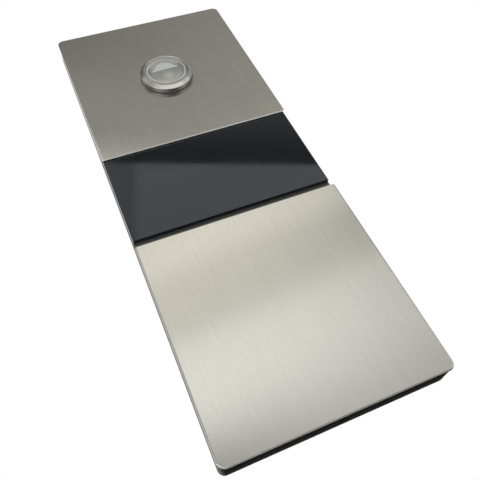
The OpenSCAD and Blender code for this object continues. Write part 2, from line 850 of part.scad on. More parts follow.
module button_switch() {
    bore_d = plunger_d + 2 * plunger_gap;
    color("#303032") upright() translate([0, button_y, button_board_top]) difference() {
        block([switch_w, switch_w, switch_h]);
        translate([0, 0, switch_floor]) cylinder(d = bore_d, h = switch_h);
    }
}

module switch_plunger() {
    plunger_low = button_board_top + switch_floor + button_travel + side_gap;
    color("tomato") upright() translate([0, button_y, plunger_low])
        cylinder(d = plunger_d, h = plunger_top - plunger_low);
}

// Shrouded header on z = 0 for the flat cable, which leaves along y towards side
module ribbon_header(side) {
    mouth = [ribbon_w + 2 * fit_gap, header_l, ribbon_t + 2 * fit_gap];
    latch = [ribbon_w / 2, header_l / 3, ribbon_t];
    difference() {
        block([header_w, header_l, header_h]);
        translate([0, side * header_l / 2, header_h / 2 - mouth[2] / 2]) block(mouth);
    }
    translate([0, -side * header_l / 3, header_h - bite]) block([latch[0], latch[1], latch[2] + bite]);
}

module button_header() {
    color("ivory") upright() translate([ribbon_x, button_header_y, button_board_top]) ribbon_header(-1);
}

module main_header() {
    color("ivory") upright() translate([ribbon_x, main_header_y, main_z])
        mirror([0, 0, 1]) ribbon_header(1);
}

module main_board() {
    color("darkgreen") upright() difference() {
        translate([0, main_y, main_z]) block([main_w, main_l, board_t]);
        at_main_screws() translate([0, 0, main_z - cut])
            cylinder(d = main_screw_d + 2 * fit_gap, h = board_t + 2 * cut);
    }
}

module main_board_screws() {
    color("silver") upright()
        at_main_screws() translate([0, 0, main_z])
            wallward_screw(main_head_d, main_head_h, main_screw_d, board_t + main_screw_bite);
}

// Row of ways for the lift's bus and supply, open towards the wall
module field_connector() {
    way = [connector_pitch * 0.6, connector_size[1] * 0.6, connector_size[2] * 0.6];
    color("seagreen") upright() translate([connector_x, connector_y, main_z]) mirror([0, 0, 1])
        difference() {
            block(connector_size);
            for (k = [0:connector_ways - 1])
                translate([(k - (connector_ways - 1) / 2) * connector_pitch, 0, connector_size[2] - way[2]])
                    block([way[0], way[1], way[2] + cut]);
        }
}

// Flat package with a row of legs on two opposite sides
module chip(size, legs, pitch) {
    translate([0, 0, leg_t / 2]) block(size);
    for (k = [0:legs - 1], side = [-1, 1])
        translate([(k - (legs - 1) / 2) * pitch, side * (size[1] / 2 + leg_l / 2 - fit_gap), 0])
            block([pitch / 2, leg_l, leg_t]);
}

module controller_chips() {
    color("#262628") upright() translate([0, main_y, main_z]) mirror([0, 0, 1]) {
        translate([driver_x, 0, 0]) chip(driver, driver_legs, driver_pitch);
        translate([processor_x, 0, 0]) chip(processor, processor_legs, processor_pitch);
    }
}

module board_capacitors() {
    color("silver") upright() translate([can_x, main_y, main_z]) mirror([0, 0, 1])
        for (k = [0:can_count - 1])
            translate([0, (k - (can_count - 1) / 2) * can_pitch, 0]) {
                block(can_foot);
                cylinder(d = can_d, h = can_h);
            }
}

module buzzer() {
    color("#1c1c1e") upright() translate([buzzer_x, buzzer_y, main_z]) mirror([0, 0, 1])
        difference() {
            cylinder(d = buzzer_d, h = buzzer_h);
            translate([0, 0, buzzer_h / 2]) cylinder(d = buzzer_hole_d, h = buzzer_h);
        }
}

function ribbon_mid(u) =
    ribbon_from_z + (ribbon_to_z - ribbon_from_z) * u + ribbon_wave * (cos(720 * u) - 1);

module ribbon_harness() {
    edge = [
        for (k = [0:ribbon_steps])
            let (u = k / ribbon_steps) [ribbon_from + (ribbon_to - ribbon_from) * u, ribbon_mid(u)]
    ];
    upper = [for (p = edge) [p[0], p[1] + ribbon_t / 2]];
    lower = [for (k = [ribbon_steps:-1:0]) [edge[k][0], edge[k][1] - ribbon_t / 2]];
    color("lightgray") upright() translate([ribbon_x - ribbon_w / 2, 0, 0])
        rotate([90, 0, 90]) linear_extrude(ribbon_w) polygon(concat(upper, lower));
}

wall_plate();
cable_grommet();
locking_screw();
front_shell();
upper_cover();
lower_cover();
cover_nuts();
band_window();
window_screws();
button_bezel();
bezel_gasket();
button_nut();
pressel();
legend_disc();
arrow_symbol();
light_diffuser();
return_spring();
button_base();
button_board();
button_board_screws();
call_leds();
button_switch();
switch_plunger();
button_header();
main_board();
main_board_screws();
field_connector();
main_header();
controller_chips();
board_capacitors();
buzzer();
ribbon_harness();
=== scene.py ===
import math

import bpy
from mathutils import Matrix, Quaternion, Vector


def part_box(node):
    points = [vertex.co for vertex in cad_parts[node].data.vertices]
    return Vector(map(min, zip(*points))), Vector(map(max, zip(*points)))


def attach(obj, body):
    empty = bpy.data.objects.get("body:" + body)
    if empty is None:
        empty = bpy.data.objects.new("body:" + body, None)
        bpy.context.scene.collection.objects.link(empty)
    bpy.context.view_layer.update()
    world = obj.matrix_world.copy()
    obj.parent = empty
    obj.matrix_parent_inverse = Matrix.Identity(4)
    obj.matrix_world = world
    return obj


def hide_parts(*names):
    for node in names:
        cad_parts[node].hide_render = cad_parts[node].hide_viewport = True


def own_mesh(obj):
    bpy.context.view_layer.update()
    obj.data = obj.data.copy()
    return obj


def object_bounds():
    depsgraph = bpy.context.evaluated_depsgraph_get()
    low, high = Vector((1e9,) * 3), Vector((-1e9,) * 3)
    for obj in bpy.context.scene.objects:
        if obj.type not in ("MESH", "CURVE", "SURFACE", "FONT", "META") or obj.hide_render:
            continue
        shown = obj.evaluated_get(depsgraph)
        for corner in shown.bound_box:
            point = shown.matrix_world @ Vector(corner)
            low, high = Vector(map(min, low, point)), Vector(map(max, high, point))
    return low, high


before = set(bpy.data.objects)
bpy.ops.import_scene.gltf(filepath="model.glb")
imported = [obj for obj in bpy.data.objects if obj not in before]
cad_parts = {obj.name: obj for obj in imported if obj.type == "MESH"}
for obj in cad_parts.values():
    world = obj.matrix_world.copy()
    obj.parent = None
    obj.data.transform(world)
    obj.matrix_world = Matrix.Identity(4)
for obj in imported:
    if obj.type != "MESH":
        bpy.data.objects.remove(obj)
cad_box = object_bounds()
bpy.ops.object.select_all(action="DESELECT")

# Wall plate: 1.5 mm steel, zinc plated, blanked and bent in one piece. Wall screws hold it through
# its four slots, the shell hangs in its two hooks and a screw through the tab at its foot locks it.
mm = 0.001
# A Mix node's colour sockets share their names with its other sockets, so they go by number.
mix_low = 6
mix_high = 7
mix_colour = 2


class Tone:
    """A value on its way through a material's nodes: arithmetic on it adds Math nodes."""

    def __init__(self, socket):
        self.socket = socket
        self.tree = socket.id_data

    def node(self, kind, settings=None, sockets=None, output=0):
        """One output of a new node, which has these settings and these values or links on its sockets."""
        made = self.tree.nodes.new(kind)
        for name, value in (settings or {}).items():
            if name == "stops":
                ramp = made.color_ramp.elements
                for stop in value[1:-1]:
                    ramp.new(stop[0])
                for element, stop in zip(ramp, value):
                    element.color = stop[1]
            else:
                setattr(made, name, value)
        for name, value in (sockets or {}).items():
            if isinstance(value, Tone):
                self.tree.links.new(value.socket, made.inputs[name])
            else:
                made.inputs[name].default_value = value
        return Tone(made.outputs[output])

    def math(self, operation, first, second=0.0):
        return self.node("ShaderNodeMath", {"operation": operation}, {0: first, 1: second})

    def __add__(self, other):
        return self.math("ADD", self, other)

    def __radd__(self, other):
        return self.math("ADD", other, self)

    def __sub__(self, other):
        return self.math("SUBTRACT", self, other)

    def __rsub__(self, other):
        return self.math("SUBTRACT", other, self)

    def __mul__(self, other):
        return self.math("MULTIPLY", self, other)

    def __rmul__(self, other):
        return self.math("MULTIPLY", other, self)

    def __abs__(self):
        return self.math("ABSOLUTE", self)

    def at_least(self, other):
        return self.math("MAXIMUM", self, other)

    def at_most(self, other):
        return self.math("MINIMUM", self, other)


def start_finish(name, constants):
    """A new material, its shader and the place on the object that its patterns are drawn by."""
    finish = bpy.data.materials.new(name)
    finish.use_nodes = True
    shader = finish.node_tree.nodes["Principled BSDF"]
    for socket, value in constants.items():
        shader.inputs[socket].default_value = value
    place = Tone(finish.node_tree.nodes.new("ShaderNodeTexCoord").outputs["Object"])
    return finish, shader, place


def feed(shader, socket, tone):
    """Links a tone to a shader's socket."""
    tone.tree.links.new(tone.socket, shader.inputs[socket])


def stretched(place, sizes):
    """The place measured in grains of the given size along each axis."""
    return place.node("ShaderNodeMapping", None, {"Vector": place, "Scale": [1 / size for size in sizes]})


def grain(place, sizes, detail=2.0):
    """Noise from 0 to 1 whose grains have the given size along each axis."""
    return place.node("ShaderNodeTexNoise", None, {
        "Vector": stretched(place, sizes), "Scale": 1.0, "Detail": detail})


def between(factor, low, high):
    """A colour between two others."""
    return factor.node("ShaderNodeMix", {"data_type": "RGBA"}, {
        "Factor": factor, mix_low: low, mix_high: high}, output=mix_colour)


def relief(height, strength, depth):
    """The normal of a surface with that height in its finish."""
    return height.node("ShaderNodeBump", None, {"Strength": strength, "Distance": depth, "Height": height})


def plated_metal(name, dark, light, roughness, spangle, pit_depth=0.02 * mm):
    """Metal with a plated skin: pale crystals, a clouded gloss and a fine rolled relief."""
    finish, shader, place = start_finish(name, {"Metallic": 1.0})
    crystals = place.node("ShaderNodeTexVoronoi", {"feature": "F1"}, {
        "Vector": stretched(place, [spangle] * 3), "Scale": 1.0}, output="Color")
    patch = crystals.node("ShaderNodeSeparateColor", None, {"Color": crystals})
    cloud = grain(place, [6 * spangle] * 3)
    pits = grain(place, [0.25 * spangle] * 3)
    feed(shader, "Base Color", between(0.45 * patch + 0.55 * cloud, dark, light))
    feed(shader, "Roughness", roughness - 0.1 + 0.12 * patch + 0.1 * pits)
    feed(shader, "Normal", relief(pits, 0.15, pit_depth))
    return finish


def dress(finish, *names):
    """Puts a finish on pieces whose shape comes straight from the frame."""
    for name in names:
        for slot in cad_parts[name].material_slots:
            slot.material = finish


zinc_plate = plated_metal(
    "zinc_plate", dark=(0.42, 0.44, 0.46, 1), light=(0.66, 0.68, 0.69, 1), roughness=0.36, spangle=3 * mm)
dress(zinc_plate, "wall_plate")

# Cable grommet: a soft rubber ring pressed into the plate's dished hole. Its two lips grip the
# sheet, and the field cable comes through it from the wall.
grommet_low, grommet_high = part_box("cable_grommet")
grommet_r = (grommet_high.x - grommet_low.x) / 2
grommet_bore_r = 7 * mm
grommet_waist_r = 9.35 * mm
grommet_lip = 1.35 * mm
grommet_round = 0.5 * mm
grommet_sides = 96
merge_gap = 0.001 * mm
quarter_turn = (math.pi / 2, 0, 0)


def named(name):
    """The piece that has just been added, with its name and with its place in its mesh."""
    piece = bpy.context.object
    piece.name = name
    piece.data.name = name
    bpy.ops.object.transform_apply(location=True, rotation=True, scale=True)
    return piece


def turned(name, axis_z, profile, sides, solid=False):
    """A turned piece about an axis off the wall, drawn ring by ring from (radius, height) stations.
    A ring's section is closed; a solid's first and last rings are filled."""
    radius, height = profile[0]
    bpy.ops.mesh.primitive_circle_add(
        vertices=sides, radius=radius, location=(0, -height, axis_z), rotation=quarter_turn)
    piece = named(name)
    bpy.ops.object.mode_set(mode="EDIT")
    bpy.ops.mesh.select_mode(type="VERT")
    bpy.ops.mesh.select_all(action="SELECT")
    if solid:
        bpy.ops.mesh.edge_face_add()
        stations = profile[1:]
    else:
        stations = profile[1:] + profile[:1]
    for next_radius, next_height in stations:
        bpy.ops.mesh.extrude_region_move(TRANSFORM_OT_translate={"value": (0, height - next_height, 0)})
        share = next_radius / radius
        bpy.ops.transform.resize(value=(share, 1, share), center_override=(0, 0, axis_z))
        radius, height = next_radius, next_height
    bpy.ops.mesh.select_all(action="SELECT")
    bpy.ops.mesh.remove_doubles(threshold=merge_gap)
    bpy.ops.mesh.normals_make_consistent(inside=False)
    bpy.ops.object.mode_set(mode="OBJECT")
    return piece


def modify(piece, kind, settings):
    """Adds a modifier with these settings to a piece and applies it."""
    bpy.context.view_layer.objects.active = piece
    bpy.ops.object.modifier_add(type=kind)
    modifier = piece.modifiers[-1]
    for name, value in settings.items():
        setattr(modifier, name, value)
    bpy.ops.object.modifier_apply(modifier=modifier.name)


def soften(piece, width, segments, angle):
    """Rounds a piece's sharp edges and shades it smooth, with its flats kept flat."""
    bpy.ops.object.select_all(action="DESELECT")
    piece.select_set(True)
    modify(piece, "BEVEL", {
        "width": width, "segments": segments, "limit_method": "ANGLE", "angle_limit": math.radians(angle)})
    bpy.ops.object.shade_smooth_by_angle(angle=math.radians(angle))
    modify(piece, "WEIGHTED_NORMAL", {"weight": 100, "keep_sharp": True})


def settle(piece, finish, body, node):
    """Gives a piece its finish and sets it on its body, in the place of its node in the frame."""
    piece.data.materials.clear()
    piece.data.materials.append(finish)
    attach(piece, body)
    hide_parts(node)


def moulded(name, colour, roughness, texture, depth, tint=0.12):
    """Moulded plastic or rubber: a spark-eroded texture, slight clouds of colour and of gloss."""
    finish, shader, place = start_finish(name, {"IOR": 1.5})
    cloud = grain(place, [40 * texture] * 3)
    pimples = grain(place, [texture] * 3, detail=3.0)
    dark = [(1 - tint) * part for part in colour] + [1]
    light = [min(1, (1 + tint) * part) for part in colour] + [1]
    feed(shader, "Base Color", between(0.5 * cloud + 0.5 * pimples, dark, light))
    feed(shader, "Roughness", roughness - 0.09 + 0.1 * cloud + 0.08 * pimples)
    feed(shader, "Normal", relief(pimples, 0.35, depth))
    return finish


rubber = moulded("rubber", (0.022, 0.022, 0.024), roughness=0.62, texture=0.3 * mm, depth=0.02 * mm)
grommet = turned("grommet_ring", (grommet_low.z + grommet_high.z) / 2, [
    (grommet_bore_r, -grommet_high.y), (grommet_r, -grommet_high.y),
    (grommet_r, -grommet_high.y + grommet_lip), (grommet_waist_r, -grommet_high.y + grommet_lip),
    (grommet_waist_r, -grommet_low.y - grommet_lip), (grommet_r, -grommet_low.y - grommet_lip),
    (grommet_r, -grommet_low.y), (grommet_bore_r, -grommet_low.y)], sides=grommet_sides)
soften(grommet, grommet_round, segments=3, angle=32)
settle(grommet, rubber, "panel", "cable_grommet")

# Locking screw: a countersunk steel screw with a hexagon socket, blackened. It comes up through
# the shell's lower edge into the plate's tab, so that the panel can't be lifted off its hooks.
black_screw = plated_metal(
    "blackened_steel", dark=(0.02, 0.02, 0.022, 1), light=(0.06, 0.06, 0.064, 1), roughness=0.42,
    spangle=1 * mm)
dress(black_screw, "locking_screw")

# Front shell: injection moulded in black plastic, with a fine eroded texture outside and a smooth,
# greyer recess for the band. Its bars hang in the plate's hooks, and the rest is fixed to its deck.
recess_front = 10 * mm
recess_middle = 3 * mm
recess_half = 33.2 * mm
front_fade = 0.1 * mm
end_fade = 0.2 * mm
spark_depth = 0.02 * mm
up = (0, 0, 1)
off_wall = (0, -1, 0)


def along(place, direction):
    """How far the place lies in a direction."""
    return place.node(
        "ShaderNodeVectorMath", {"operation": "DOT_PRODUCT"}, {0: place, 1: direction}, output="Value")


def step(tone, start, end):
    """0 before the start, 1 after the end and smooth between them."""
    return tone.node(
        "ShaderNodeMapRange", {"interpolation_type": "SMOOTHSTEP"},
        {"Value": tone, "From Min": start, "From Max": end})


shell_plastic, shell_shader, shell_place = start_finish("shell_plastic", {"IOR": 1.4})
from_middle = abs(along(shell_place, up) - recess_middle)
polished = step(along(shell_place, off_wall), recess_front, recess_front + front_fade) * (
    1 - step(from_middle, recess_half, recess_half + end_fade))
spark = grain(shell_place, [0.22 * mm] * 3, detail=3.0)
shell_cloud = grain(shell_place, [9 * mm] * 3)
feed(shell_shader, "Base Color", between(
    0.07 * shell_cloud + 0.93 * polished, (0.006, 0.006, 0.007, 1), (0.066, 0.066, 0.062, 1)))
feed(shell_shader, "Roughness", 0.18 + 0.08 * shell_cloud + (1 - polished) * (0.2 + 0.12 * spark))
feed(shell_shader, "Coat Weight", polished)
feed(shell_shader, "Normal", relief(spark * (1 - polished), 0.35, spark_depth))
dress(shell_plastic, "front_shell")

# Steel covers: 1.2 mm stainless sheet, brushed along the panel, its front edges rounded and those at
# the band left as they were sheared. Four studs welded behind each one pass through the deck to
# plated nuts, and the upper one has the button's hole.
sheet = 1.2 * mm
corner_round = 3.6 * mm
corner_steps = 12
band_corner_round = 1.1 * mm
band_corner_steps = 6
front_round = 1 * mm
front_steps = 6
band_edge_round = 0.22 * mm
broken_edge = 0.15 * mm
stud_r = 1.5 * mm
stud_l = 5.4 * mm
stud_side = 10 * mm
stud_end = 13.25 * mm
stud_chamfer = 0.35 * mm
stud_sides = 32
bezel_low, bezel_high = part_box("button_bezel")
axis_z = (bezel_low.z + bezel_high.z) / 2
button_hole_r = 14.75 * mm
hole_sides = 96
drill_l = 4 * sheet
upper_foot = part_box("upper_cover")[0].z
lower_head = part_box("lower_cover")[1].z
# How deep from the band the sheared look reaches, and where the brushed one is whole again.
sheared_to = 0.02 * mm
brushed_from = 0.05 * mm
sheared_colour = (0.97, 0.96, 0.93, 1)
sheared_roughness = 0.62
scratch_w = 0.14 * mm
scratch_l = 22 * mm
scratch_depth = 0.01 * mm
streak_w = 0.8 * mm
streak_l = 60 * mm
smear_w = 26 * mm
smear_l = 40 * mm
same_plane = 0.01 * mm
aligned = 0.9


def choose(piece, kind, test):
    """Goes into edit mode with those edges or faces selected whose middle and run, or normal, pass."""
    bpy.ops.object.mode_set(mode="EDIT")
    bpy.ops.mesh.select_mode(type=kind)
    bpy.ops.mesh.select_all(action="DESELECT")
    bpy.ops.object.mode_set(mode="OBJECT")
    mesh = piece.data
    if kind == "FACE":
        for face in mesh.polygons:
            face.select = test(face.center, face.normal)
    else:
        for edge in mesh.edges:
            start, end = (mesh.vertices[corner].co for corner in edge.vertices)
            edge.select = test((start + end) / 2, (end - start).normalized())
    bpy.ops.object.mode_set(mode="EDIT")


def round_edges(piece, radius, segments, test):
    """Rounds chosen edges of a piece."""
    choose(piece, "EDGE", test)
    bpy.ops.mesh.bevel(offset=radius, segments=segments, affect="EDGES")
    bpy.ops.object.mode_set(mode="OBJECT")


def round_front(cover, front_y, band_z):
    """Rounds a cover's front edges, and the sheared one at the band less than the rest."""
    mesh = cover.data
    shares = mesh.attributes.new("bevel_weight_edge", "FLOAT", "EDGE")
    for edge, share in zip(mesh.edges, shares.data):
        start, end = (mesh.vertices[corner].co for corner in edge.vertices)
        if max(start.y, end.y) < front_y + same_plane:
            at_band = abs((start.z + end.z) / 2 - band_z) < band_corner_round
            across = abs((end - start).normalized().x) if at_band else 0
            share.value = 1 - across * (1 - band_edge_round / front_round)
    modify(cover, "BEVEL", {"width": front_round, "segments": front_steps, "limit_method": "WEIGHT"})
    mesh.attributes.remove(mesh.attributes["bevel_weight_edge"])


def add_rod(name, sides, radius, centre, depth):
    """A round bar that points off the wall."""
    bpy.ops.mesh.primitive_cylinder_add(
        vertices=sides, radius=radius, depth=depth, location=centre, rotation=quarter_turn)
    return named(name)


def cut_hole(piece, radius, centre, depth):
    """Drills a piece through its front."""
    drill = add_rod("drill", hole_sides, radius, centre, depth)
    modify(piece, "BOOLEAN", {"operation": "DIFFERENCE", "object": drill})
    bpy.data.objects.remove(drill)


def join(piece, others):
    """Welds other pieces to this one."""
    bpy.ops.object.select_all(action="DESELECT")
    for other in [piece, *others]:
        other.select_set(True)
    bpy.context.view_layer.objects.active = piece
    bpy.ops.object.join()


def weld_stud(x, z, root_y):
    """A welded stud behind a cover, its tip chamfered."""
    stud = add_rod("stud", stud_sides, stud_r, (x, root_y + stud_l / 2, z), stud_l)
    choose(stud, "FACE", lambda middle, normal: normal.y > aligned)
    bpy.ops.mesh.bevel(offset=stud_chamfer, segments=1, affect="EDGES")
    bpy.ops.object.mode_set(mode="OBJECT")
    return stud


def add_slab(name, low, high, thickness):
    """A flat slab as wide and as long as a box, against its front."""
    bpy.ops.mesh.primitive_cube_add(
        size=1, location=((low.x + high.x) / 2, low.y + thickness / 2, (low.z + high.z) / 2),
        scale=(high.x - low.x, thickness, high.z - low.z))
    return named(name)


def pressed_cover(name, node, outward):
    """A cover, sheet and studs; outward is 1 where its outer end is up and -1 where it is down."""
    low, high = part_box(node)
    cover = add_slab(name, low, high, sheet)
    middle_z = (low.z + high.z) / 2
    round_edges(cover, corner_round, corner_steps, lambda middle, run:
                abs(run.y) > aligned and outward * (middle.z - middle_z) > 0)
    round_edges(cover, band_corner_round, band_corner_steps, lambda middle, run:
                abs(run.y) > aligned and outward * (middle.z - middle_z) < 0)
    round_front(cover, low.y, low.z if outward > 0 else high.z)
    if outward > 0:
        cut_hole(cover, button_hole_r, (0, low.y, axis_z), drill_l)
    soften(cover, broken_edge, segments=2, angle=50)
    join(cover, [
        weld_stud(x, z, low.y + sheet)
        for x in (low.x + stud_side, high.x - stud_side) for z in (low.z + stud_end, high.z - stud_end)])
    return cover


def brushed_steel(name, dark, light, roughness):
    """Stainless steel brushed along the panel: long fine scratches over faint broad streaks. The edges
    sheared at the band are dull and pale."""
    finish, shader, place = start_finish(name, {"Anisotropic": 0.95})
    scratches = grain(place, [scratch_w, scratch_w, scratch_l], detail=3.0)
    streaks = step(grain(place, [streak_w, streak_w, streak_l]), 0.3, 0.7)
    smears = grain(place, [smear_w, smear_w, smear_l])
    height = along(place, up)
    sheared = step(height, lower_head - brushed_from, lower_head - sheared_to) * (
        1 - step(height, upper_foot + sheared_to, upper_foot + brushed_from))
    steel = between(0.5 * scratches + 0.15 * streaks + 0.35 * smears, dark, light)
    feed(shader, "Base Color", between(sheared, steel, sheared_colour))
    brushed = roughness - 0.06 + 0.07 * scratches + 0.05 * smears
    feed(shader, "Roughness", brushed + sheared * (sheared_roughness - brushed))
    feed(shader, "Metallic", 1 - sheared)
    feed(shader, "Normal", relief(scratches, 0.12, scratch_depth))
    return finish


cover_steel = brushed_steel(
    "brushed_steel", dark=(0.67, 0.653, 0.595, 1), light=(0.81, 0.793, 0.722, 1), roughness=0.205)
for name, node, outward in (
        ("upper_steel_cover", "upper_cover", 1), ("lower_steel_cover", "lower_cover", -1)):
    settle(pressed_cover(name, node, outward), cover_steel, "panel", node)
dress(zinc_plate, "cover_nuts")

# Band window: a pane of smoked acrylic, polished, its side edges rounded. Its upper end is tucked
# under the upper cover and a groove is left below its lower end. Bosses behind it take plated screws
# from inside.
pane = 2.4 * mm
pane_side_round = 1.1 * mm
pane_side_steps = 8
pane_edge_round = 0.15 * mm
boss_r = 3 * mm
boss_bore_r = 1 * mm
boss_side = 11.6 * mm
boss_end = 7 * mm
boss_sides = 48
window_low, window_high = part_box("band_window")


def window_boss(x, z, root_y, tip_y):
    """A boss behind the pane, bored for a screw."""
    boss = add_rod("boss", boss_sides, boss_r, (x, (root_y + tip_y) / 2, z), tip_y - root_y)
    choose(boss, "FACE", lambda middle, normal: normal.y > aligned)
    bpy.ops.mesh.inset(thickness=boss_r - boss_bore_r)
    bpy.ops.mesh.extrude_region_move(TRANSFORM_OT_translate={"value": (0, root_y - tip_y, 0)})
    bpy.ops.object.mode_set(mode="OBJECT")
    return boss


window = add_slab("smoked_window", window_low, window_high, pane)
round_edges(window, pane_side_round, pane_side_steps, lambda middle, run:
            abs(run.z) > aligned and middle.y < window_low.y + pane / 2)
soften(window, pane_edge_round, segments=3, angle=50)
join(window, [
    window_boss(x, z, window_low.y + pane, window_high.y)
    for x in (window_low.x + boss_side, window_high.x - boss_side)
    for z in (window_low.z + boss_end, window_high.z - boss_end)])
smoked, smoked_shader, smoked_place = start_finish("smoked_acrylic", {
    "IOR": 1.7, "Specular Tint": (0.74, 0.865, 1.0, 1)})
wipe_marks = grain(smoked_place, [30 * mm, 30 * mm, 12 * mm])
dust = step(grain(smoked_place, [0.5 * mm] * 3), 0.74, 0.8)
feed(smoked_shader, "Base Color", between(dust, (0.004, 0.0042, 0.0046, 1), (0.02, 0.02, 0.021, 1)))
feed(smoked_shader, "Roughness", 0.03 + 0.04 * wipe_marks + 0.1 * dust)
settle(window, smoked, "panel", "band_window")
dress(zinc_plate, "window_screws")

# Button bezel: turned from stainless bar, with a polished bevel round its flange, its side painted
# darker below the bevel as painted shade, and a threaded collar behind. Its inner shoulder keeps the cap
# in, and a ring nut clamps it to the deck.
bezel_r = (bezel_high.x - bezel_low.x) / 2
bezel_top = -bezel_low.y
collar_foot = -bezel_high.y
bevel_h = 1.5 * mm
bevel_w = 1.9 * mm
side_top = bezel_top - bevel_h
cap_bore_r = 13 * mm
bore_edge = 0.3 * mm
collar_r = 14.55 * mm
collar_bore_r = 13.55 * mm
seat_z = 14.6 * mm
shoulder_z = 12.8 * mm
thread_top = 12 * mm
thread_pitch = 1 * mm
thread_depth = 0.4 * mm
turned_edge = 0.12 * mm
side_shade_fade = 0.1 * mm
tool_mark = 0.12 * mm
tool_mark_depth = 0.02 * mm
button_sides = 160
thread = [
    (collar_r - (thread_depth if half % 2 else 0), thread_top - half * thread_pitch / 2)
    for half in range(int(2 * (thread_top - collar_foot) / thread_pitch))]
bezel = turned("turned_bezel", axis_z, [
    (cap_bore_r, bezel_top - bore_edge), (cap_bore_r + bore_edge, bezel_top),
    (bezel_r - bevel_w, bezel_top), (bezel_r, side_top), (bezel_r, seat_z),
    (collar_r, seat_z), *thread, (collar_r - thread_depth, collar_foot), (collar_bore_r, collar_foot),
    (collar_bore_r, shoulder_z), (cap_bore_r, shoulder_z)], sides=button_sides)
soften(bezel, turned_edge, segments=2, angle=25)


def from_centre(place, centre, weights):
    """The distance from a centre, with each axis weighed."""
    offset = place.node("ShaderNodeVectorMath", {"operation": "SUBTRACT"}, {0: place, 1: centre})
    weighed = place.node("ShaderNodeVectorMath", {"operation": "MULTIPLY"}, {0: offset, 1: weights})
    return place.node("ShaderNodeVectorMath", {"operation": "LENGTH"}, {0: weighed}, output="Value")


def off_axis(place, x=0, z=axis_z):
    """The distance from an axis off the wall, the button's own unless another is given."""
    return from_centre(place, (x, 0, z), (1, 0, 1))


def ringed(radius, width):
    """Noise from 0 to 1 in rings of the given width."""
    return radius.node("ShaderNodeTexNoise", {"noise_dimensions": "1D"}, {
        "W": radius * (1 / width), "Scale": 1.0})


bezel_steel, bezel_shader, bezel_place = start_finish("turned_steel", {"Metallic": 1.0})
rings = ringed(off_axis(bezel_place), tool_mark)
bezel_cloud = grain(bezel_place, [5 * mm] * 3)
# Painted shade: below the bevel the side is painted dark grey, standing in for the shade under the flange.
above_shaded_side = step(along(bezel_place, off_wall), side_top - side_shade_fade, side_top)
feed(bezel_shader, "Base Color", between(
    above_shaded_side * (0.6 + 0.2 * rings + 0.2 * bezel_cloud), (0.27, 0.27, 0.26, 1), (0.77, 0.765, 0.71, 1)))
feed(bezel_shader, "Roughness", 0.17 + 0.12 * rings + 0.05 * bezel_cloud)
feed(bezel_shader, "Normal", relief(rings, 0.25, tool_mark_depth))
settle(bezel, bezel_steel, "panel", "button_bezel")

# Gasket and ring nut: a flat ring of grey rubber under the flange keeps water out of the hole, and
# a zinc-plated nut with spanner notches clamps the button to the deck from inside.
grey_rubber = moulded(
    "grey_rubber", (0.05, 0.05, 0.05), roughness=0.6, texture=0.3 * mm, depth=0.02 * mm)
dress(grey_rubber, "bezel_gasket")
dress(zinc_plate, "button_nut")

# Cap: a clear polycarbonate moulding, its domed face polished and sloped off round its rim, with a
# grey ring printed behind it. A flange round its skirt catches under the bezel's shoulder, and it
# slides in by 1.2 mm when it is pressed.
cap_low, cap_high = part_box("pressel")
cap_top = -cap_low.y
cap_foot = -cap_high.y
cap_r = 12.8 * mm
cap_flange_r = (cap_high.x - cap_low.x) / 2
cap_skirt_r = 11.7 * mm
cap_flange_t = 1.2 * mm
slope_w = 1.4 * mm
slope_h = 0.5 * mm
dome = 0.3 * mm
dome_steps = 16
dome_tip = 0.04
lens = 1.6 * mm
cap_round = 0.1 * mm
face_r = cap_r - slope_w
face_z = cap_top - dome
edge_z = face_z - slope_h
lens_back = edge_z - lens
rings_of_dome = [
    (face_r * share, face_z + dome * (1 - share ** 2))
    for share in (1 - (1 - dome_tip) * ring / dome_steps for ring in range(dome_steps + 1))]
cap = turned("clear_cap", axis_z, [
    (cap_skirt_r, lens_back), (cap_skirt_r, cap_foot), (cap_flange_r, cap_foot),
    (cap_flange_r, cap_foot + cap_flange_t), (cap_r, cap_foot + cap_flange_t),
    (cap_r, edge_z), *rings_of_dome], sides=button_sides, solid=True)
soften(cap, cap_round, segments=3, angle=12)

# The printed ring by its radius and its depth behind the lens, the painted highlight along the slope's
# edge, the outer wall by its depth, and the heights over which the ring's far side is painted paler as
# painted light.
print_from = 9.2 * mm
print_full = 10 * mm
print_skin = 0.02 * mm
print_end = 0.1 * mm
edge_line = 0.36 * mm
wall_from = 0.45 * mm
wall_full = 0.3 * mm
far_from = 3 * mm
far_full = 8 * mm
clear, clear_shader, clear_place = start_finish("clear_polycarbonate", {
    "Base Color": (0.95, 0.955, 0.935, 1), "Transmission Weight": 1.0, "IOR": 1.58})
rubbed = grain(clear_place, [2.5 * mm] * 3, detail=4.0)
feed(clear_shader, "Roughness", 0.04 + 0.08 * rubbed)
print_shader = clear.node_tree.nodes.new("ShaderNodeBsdfPrincipled")
from_axis = off_axis(clear_place)
# A painted highlight: a pale line along the slope's edge, in the print's colour.
edge_highlight = 1 - step(abs(from_axis - face_r), 0.4 * edge_line, edge_line)
# Painted light: the ring is painted paler on its far side, above the button's middle.
painted_far_light = step(along(clear_place, up) - axis_z, far_from, far_full)
behind = 1 - step(along(clear_place, off_wall), lens_back + print_skin, lens_back + print_end)
feed(print_shader, "Base Color", between(
    0.1 * rubbed + painted_far_light * (0.1 + 0.65 * behind) + 0.5 * edge_highlight, (0.375, 0.373, 0.355, 1),
    (0.95, 0.94, 0.905, 1)))
feed(print_shader, "Roughness", 0.35 + 0.2 * rubbed)
outer_wall = step(from_axis, cap_r - wall_from, cap_r - wall_full)
printed = behind * step(from_axis, print_from, print_full)
# The painted highlight also lays the pale print over the clear face along the slope's edge.
rim = printed.at_least(outer_wall).at_least(0.9 * edge_highlight * (1 - behind))
moulding = rim.node("ShaderNodeMixShader", None, {
    0: rim, 1: Tone(clear_shader.outputs[0]), 2: Tone(print_shader.outputs[0])})
feed(clear.node_tree.nodes["Material Output"], "Surface", moulding)
settle(cap, clear, "button", "pressel")
